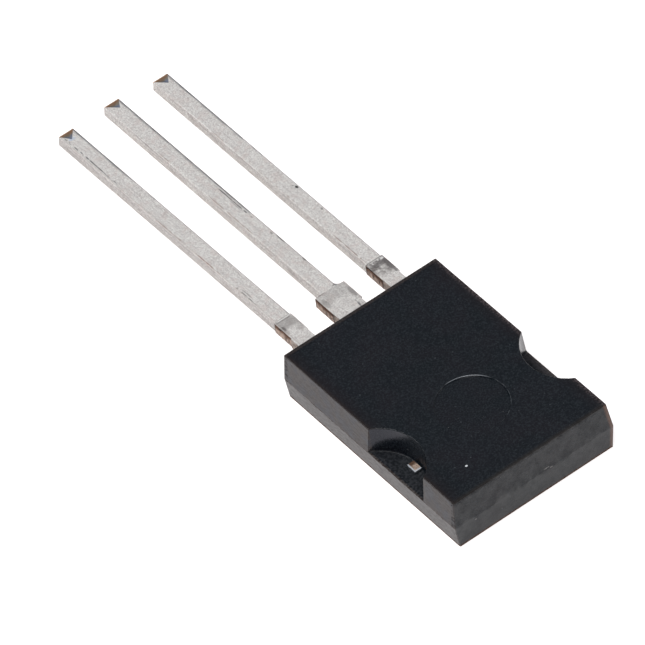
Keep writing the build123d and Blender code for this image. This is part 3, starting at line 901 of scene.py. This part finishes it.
# %% [markdown]
# ## Grains in the epoxy's skin
#
# Here and there a grain of quartz lies bare in the walls, on the notches' shelves and in the shallow
# ring on the front, and dust of the same size settles there. Some sixty grains could be placed by
# hand or by a loop, but a tree of Geometry Nodes does it on the real surface: it scatters points on
# the block's own mesh, sinks each a little, and sets a tiny faceted ball on it. The tree's inputs are
# the grain's size and how many lie on a square millimetre, and its seeds are fixed.


# %% Helpers for Geometry Nodes
def tree_with_inputs(name, sizes):
    """Geometry Nodes tree with one named number for each size, and what its inputs give."""
    tree = bpy.data.node_groups.new(name, "GeometryNodeTree")
    tree.interface.new_socket("Geometry", in_out="OUTPUT", socket_type="NodeSocketGeometry")
    tree.interface.new_socket("Geometry", in_out="INPUT", socket_type="NodeSocketGeometry")
    for key in sizes:
        tree.interface.new_socket(key, in_out="INPUT", socket_type="NodeSocketFloat")
    add = partial(add_node, tree)
    return tree, add, add("NodeGroupInput").outputs


def end_tree(add, geometry, material):
    """Ends a tree with Realize Instances and Set Material."""
    real = add("GeometryNodeRealizeInstances", [geometry])
    add("NodeGroupOutput", {0: add("GeometryNodeSetMaterial", {0: real, "Material": material})})


def piece_from_tree(name, start_mesh, tree, sizes):
    """Runs a tree on a mesh and keeps the result as a plain mesh that rides on the part."""
    piece = bpy.data.objects.new(name, start_mesh)
    bpy.context.scene.collection.objects.link(piece)
    modifier = piece.modifiers.new(name, "NODES")
    modifier.node_group = tree
    for item in tree.interface.items_tree:
        if item.name in sizes:
            modifier[item.identifier] = sizes[item.name]
    evaluated = piece.evaluated_get(bpy.context.evaluated_depsgraph_get())
    result = bpy.data.meshes.new_from_object(evaluated)
    piece.modifiers.clear()
    piece.data = result
    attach(piece, "root")
    print(name, len(result.polygons), "faces")


# %% Grains
# Ground quartz is pale and dull.
QUARTZ_SHADES = ("#4d4b4a", "#8c8a88")
bare_quartz = grained("bare_quartz", 0.4, 1.0, QUARTZ_SHADES, 0.002, Roughness=0.6)

GRAIN_SIZES = {"Grain Radius": 0.026 * MM, "Grains Per Area": 1.6 / MM**2}
RING_FLOOR = 2.30
RING_FLOOR_HEIGHTS = (RING_FLOOR - 0.02, RING_FLOOR + 0.02)
SUNK = 0.6
SMALLEST_GRAIN = 0.45
SCATTER_SEED, TURN_SEED, SIZE_SEED = 7, 3, 5


def skin_grains():
    """Tree that scatters grains over the walls, the shelves and the ring's floor."""
    tree, add, given = tree_with_inputs("skin_grains", GRAIN_SIZES)
    place = add("GeometryNodeInputPosition")
    in_mm = add("VectorMath", {0: place, "Scale": 1 / MM}, operation="SCALE")
    height = add("SeparateXYZ", [in_mm]).outputs[2]
    facing = add("SeparateXYZ", [add("GeometryNodeInputNormal")]).outputs[2]
    upright = stretch(add, facing, -WALL_TILT, WALL_TILT)
    wall = stretch(add, height, PARTING_HEIGHT + 0.18, FRONT_FACE - 0.06, within=upright)
    shelf = stretch(add, height, *SHELF_HEIGHTS)
    ring = stretch(add, height, *RING_FLOOR_HEIGHTS)
    level = add("Math", [shelf, ring], operation="ADD")
    level = add("Math", [level, stretch(add, facing, low=LEVEL_TILT)], operation="MULTIPLY")
    where = add("Math", [wall, level], operation="ADD")
    density = add("Math", [where, given["Grains Per Area"]], operation="MULTIPLY")
    spread = add(
        "GeometryNodeDistributePointsOnFaces",
        {"Mesh": given["Geometry"], "Density": density, "Seed": SCATTER_SEED},
    )
    depth = add("Math", [given["Grain Radius"], -SUNK], operation="MULTIPLY")
    inward = {0: spread.outputs["Normal"], "Scale": depth}
    inward = add("VectorMath", inward, operation="SCALE")
    sunk = add("GeometryNodeSetPosition", {"Geometry": spread.outputs["Points"], "Offset": inward})
    ball = add("GeometryNodeMeshIcoSphere", {"Radius": given["Grain Radius"], "Subdivisions": 1})
    any_way = add(
        "FunctionNodeRandomValue",
        {0: (0.0, 0.0, 0.0), 1: (radians(360),) * 3, "Seed": TURN_SEED},
        data_type="FLOAT_VECTOR",
    )
    size = add("FunctionNodeRandomValue", {"Min": SMALLEST_GRAIN, "Max": 1.0, "Seed": SIZE_SEED})
    grains = add(
        "GeometryNodeInstanceOnPoints",
        {"Points": sunk, "Instance": ball, "Rotation": any_way, "Scale": size},
    )
    end_tree(add, grains, bare_quartz)
    return tree


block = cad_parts["moulded_body"].data.copy()
piece_from_tree("skin_grains", block, skin_grains(), GRAIN_SIZES)

# %% [markdown]
# ## Burr under the cuts
#
# Where the shear left the copper it pulled out a thin ragged lip, about two hundredths of a
# millimetre high, along the lower edge of each cut. It follows a path, so Geometry Nodes make it: six
# short straight edges become curves, their points wander a little, and a small five-sided profile is
# swept along them, thicker in some places than in others.

# %% Burr
BURR_SIZES = {"Burr Radius": 0.02 * MM, "Burr Step": 0.025 * MM, "Burr Wander": 0.016 * MM}


def shear_burr():
    """Tree that turns the lower edges of the cuts into ragged lips."""
    tree, add, given = tree_with_inputs("shear_burr", BURR_SIZES)
    path = {"Curve": add("GeometryNodeMeshToCurve", {"Mesh": given["Geometry"]})}
    path = add("GeometryNodeResampleCurve", {**path, "Length": given["Burr Step"]}, mode="LENGTH")
    torn = add("TexNoise", {"Scale": per_mm(0.09), "Detail": 2.0})
    aside = add("VectorMath", [torn.outputs["Color"], (0.5,) * 3], operation="SUBTRACT")
    aside = add("VectorMath", {0: aside, "Scale": given["Burr Wander"]}, operation="SCALE")
    ragged = add("GeometryNodeSetPosition", {"Geometry": path, "Offset": aside})
    profile = {"Resolution": 5, "Radius": given["Burr Radius"]}
    profile = add("GeometryNodeCurvePrimitiveCircle", profile)
    thick = add("MapRange", {"Value": torn, "From Min": 0.4, "From Max": 0.65, "To Min": 0.35})
    lip = add(
        "GeometryNodeCurveToMesh",
        {"Curve": ragged, "Profile Curve": profile, "Scale": thick, "Fill Caps": True},
    )
    end_tree(add, lip, plates["mounting_base"])
    return tree


# Each line stays a little inside the cut's side and short of its two ends.
INSIDE_CUT = 0.012
SHORT_OF_END = 0.03
ends = []
for lead in LEADS.values():
    start, end = (LEAD_END - distance for distance in lead["dam"])
    for side, reach in zip((-1, 1), lead["reach"]):
        x = lead["middle"] + side * (reach - INSIDE_CUT)
        for y in (start - SHORT_OF_END, end + SHORT_OF_END):
            ends.append(Vector((x, y, LEAD_BOTTOM)) * MM)
cuts = bpy.data.meshes.new("cuts")
cuts.from_pydata(ends, [(i, i + 1) for i in range(0, len(ends), 2)], [])
piece_from_tree("shear_burr", cuts, shear_burr(), BURR_SIZES)

# %% [markdown]
# ## Camera
#
# A long lens far above the far end, looking down at 46 degrees over one notch, with the leads
# running away. The camera is slightly rolled. A long lens keeps the edges almost parallel.

# %% Camera
CAMERA_PLACE = Vector((124.80, 194.07, 249.96)) * MM
CAMERA_TARGET = Vector((1.035, -6.661, 1.2)) * MM
CAMERA_ROLL = radians(8.53)
FOCAL_LENGTH = 486.0
SENSOR_WIDTH = 36.0
NEAR_CLIP = 0.05
camera_data = bpy.data.cameras.new("camera")
camera_data.lens = FOCAL_LENGTH
camera_data.sensor_width = SENSOR_WIDTH
camera_data.clip_start = NEAR_CLIP
camera = bpy.data.objects.new("camera", camera_data)
bpy.context.scene.collection.objects.link(camera)
camera.location = CAMERA_PLACE
camera.rotation_mode = "QUATERNION"
towards = (CAMERA_TARGET - CAMERA_PLACE).to_track_quat("-Z", "Y")
camera.rotation_quaternion = towards @ Quaternion((0.0, 0.0, 1.0), -CAMERA_ROLL)
bpy.context.scene.camera = camera
print("camera", round((CAMERA_TARGET - CAMERA_PLACE).length / MM), "mm from the part")

# %% [markdown]
# ## Table and light
#
# The table is a wide white sheet. To the camera and in reflections it glows a little, so that it
# reads as white and still shows the part's soft shadow, and no lamp has to be turned up for it.
# Light comes from large soft sources. The part of the room that the front face mirrors stays dim:
# that is what keeps the epoxy black.

# %% Table
TABLE_HALF = 1.5
GLOW_TO_CAMERA = 0.7
GLOW_IN_REFLECTIONS = 0.5


def matt_white_sheet():
    """Matt white sheet that glows for the camera, for reflections and through glass."""
    material, add = new_material("matt_white_sheet")
    place = add("TexCoord").outputs["Object"]
    fibre = add("TexNoise", {"Vector": place, "Scale": per_mm(0.8), "Detail": 3.0})
    colour = paint(add, "#fcf9f8", fibre, 1.0, "#f7f4f3")
    paper = add("BsdfDiffuse", {"Color": colour})
    path = add("LightPath").outputs
    seen = add("Math", [path["Is Glossy Ray"], path["Is Transmission Ray"]], operation="MAXIMUM")
    seen = add("Math", [seen, GLOW_IN_REFLECTIONS], operation="MULTIPLY")
    strength = [path["Is Camera Ray"], GLOW_TO_CAMERA, seen]
    strength = add("Math", strength, operation="MULTIPLY_ADD")
    glow = add("Emission", {"Color": colour, "Strength": strength})
    add("OutputMaterial", {"Surface": add("AddShader", [paper, glow])})
    return material


table_mesh = bpy.data.meshes.new("table")
corners = [(x * TABLE_HALF, y * TABLE_HALF, 0.0) for x, y in ((-1, -1), (1, -1), (1, 1), (-1, 1))]
table_mesh.from_pydata(corners, [], [(0, 1, 2, 3)])
table_mesh.materials.append(matt_white_sheet())
table = bpy.data.objects.new("table", table_mesh)
bpy.context.scene.collection.objects.link(table)
print("table", 2 * TABLE_HALF, "m square")

# %% [markdown]
# The lamps are large squares, 0.6 m away, so that their shadows are soft. Each is placed by its angles
# and turned to look at the part. The world is a dim, slightly cold room.

# %% Lamps and room
LAMP_DISTANCE = 0.6
LAMP_SIZE = 0.35
ROOM_STRENGTH = 0.2


def soft_lamp(name, azimuth, elevation, power):
    """Square area lamp that looks at the part, placed by its angles in degrees."""
    data = bpy.data.lights.new(name, "AREA")
    data.size = LAMP_SIZE
    data.energy = power
    lamp = bpy.data.objects.new(name, data)
    bpy.context.scene.collection.objects.link(lamp)
    turn = Quaternion((0, 0, 1), radians(azimuth)) @ Quaternion((0, -1, 0), radians(elevation))
    lamp.location = turn @ Vector((LAMP_DISTANCE, 0, 0))
    lamp.rotation_mode = "QUATERNION"
    lamp.rotation_quaternion = (-lamp.location).to_track_quat("-Z", "Y")
    print(name, power, "W")


soft_lamp("key_softbox", azimuth=-50, elevation=54, power=1.8)
soft_lamp("front_softbox", azimuth=55, elevation=52, power=1.05)
soft_lamp("left_softbox", azimuth=160, elevation=50, power=0.35)

world = bpy.data.worlds.new("studio")
world.use_nodes = True
room = world.node_tree.nodes["Background"]
room.inputs["Color"].default_value = linear("#f0f5ff")
room.inputs["Strength"].default_value = ROOM_STRENGTH
bpy.context.scene.world = world
bpy.context.scene.view_settings.view_transform = "Standard"
